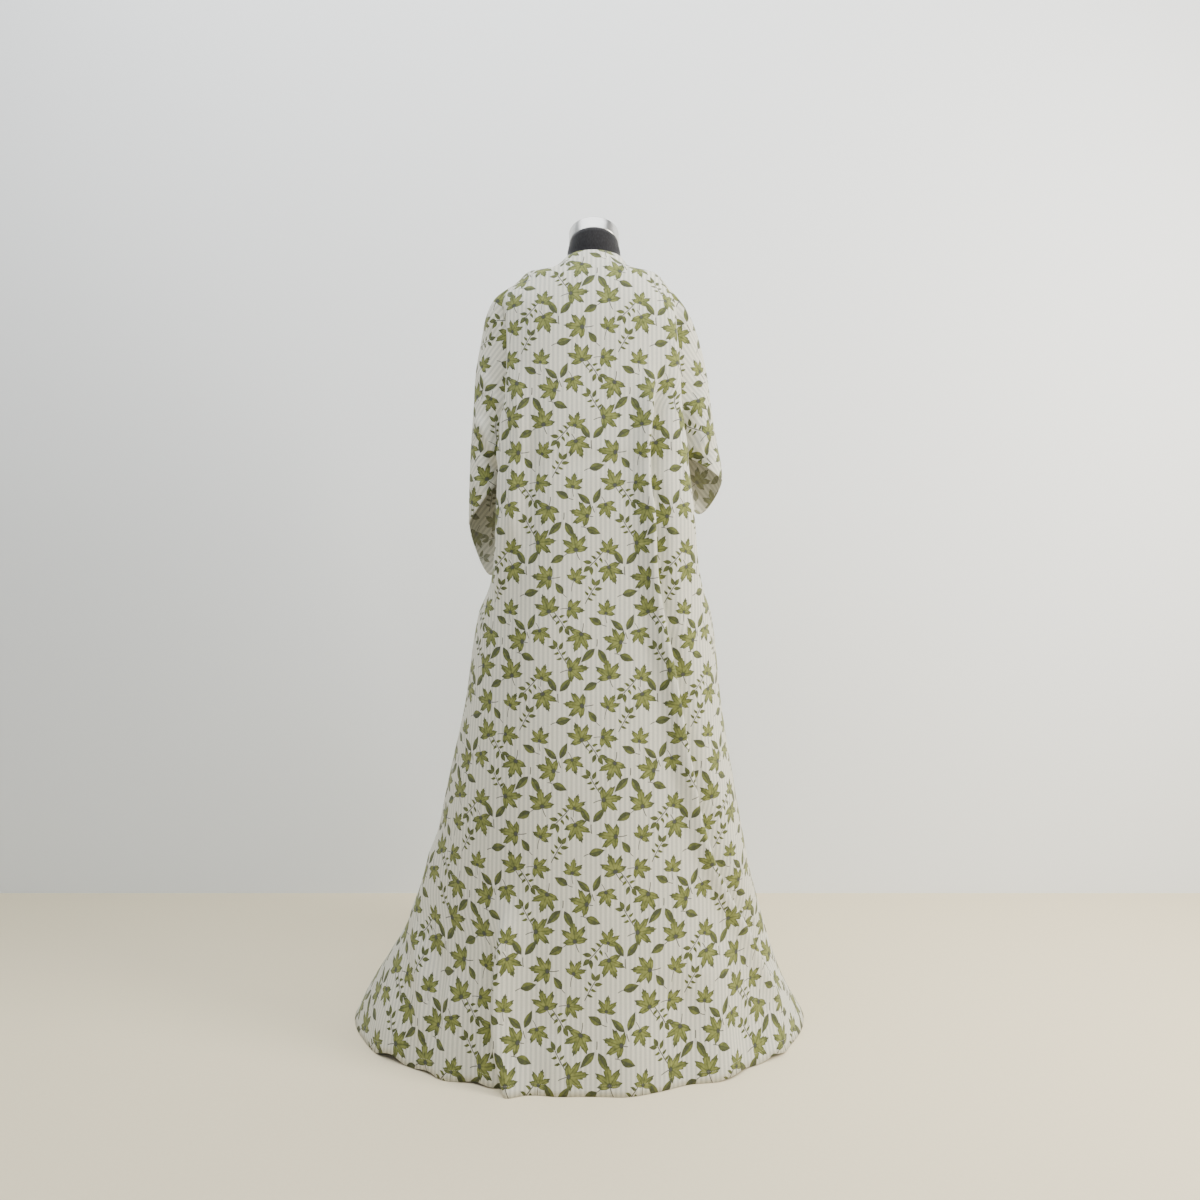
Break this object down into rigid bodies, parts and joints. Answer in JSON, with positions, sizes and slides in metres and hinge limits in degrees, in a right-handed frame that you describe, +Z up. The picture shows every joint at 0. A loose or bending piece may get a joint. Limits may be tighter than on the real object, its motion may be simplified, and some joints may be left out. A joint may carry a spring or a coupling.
{
  "type": "modest maxi dress on dress form",
  "caption": "Loose floor-length kimono-cut dress with wide sleeves and a high round neck, hung on a limbless dress form with a neck cap, pole and round base.",
  "frame": {"origin": "centre of the base plate's underside, on the floor, on the pole's axis", "axes": "+Z up the pole; the dress's back faces -Y and its front +Y; +X is the wearer's right"},
  "size_m": [0.9158, 0.6153, 1.5876],
  "materials": {
    "printed_cotton": "light plain-woven cotton with fine lengthwise stripes and a scattered leaf print",
    "loop_thread": "twisted cotton cord",
    "button": "polished pale horn-coloured resin",
    "form_jersey": "black stretch jersey over a smooth padded shell",
    "neck_cap_steel": "satin brushed",
    "stand_steel": "satin dark powder coat"
  },
  "bodies": {
    "root": {"dress_back": "printed_cotton", "dress_front": "printed_cotton", "neck_button": "button", "neck_button_loop": "loop_thread", "form_torso": "form_jersey", "form_neck_cap": "neck_cap_steel", "form_pole": "stand_steel", "form_base_plate": "stand_steel"}
  },
  "joints": []
}
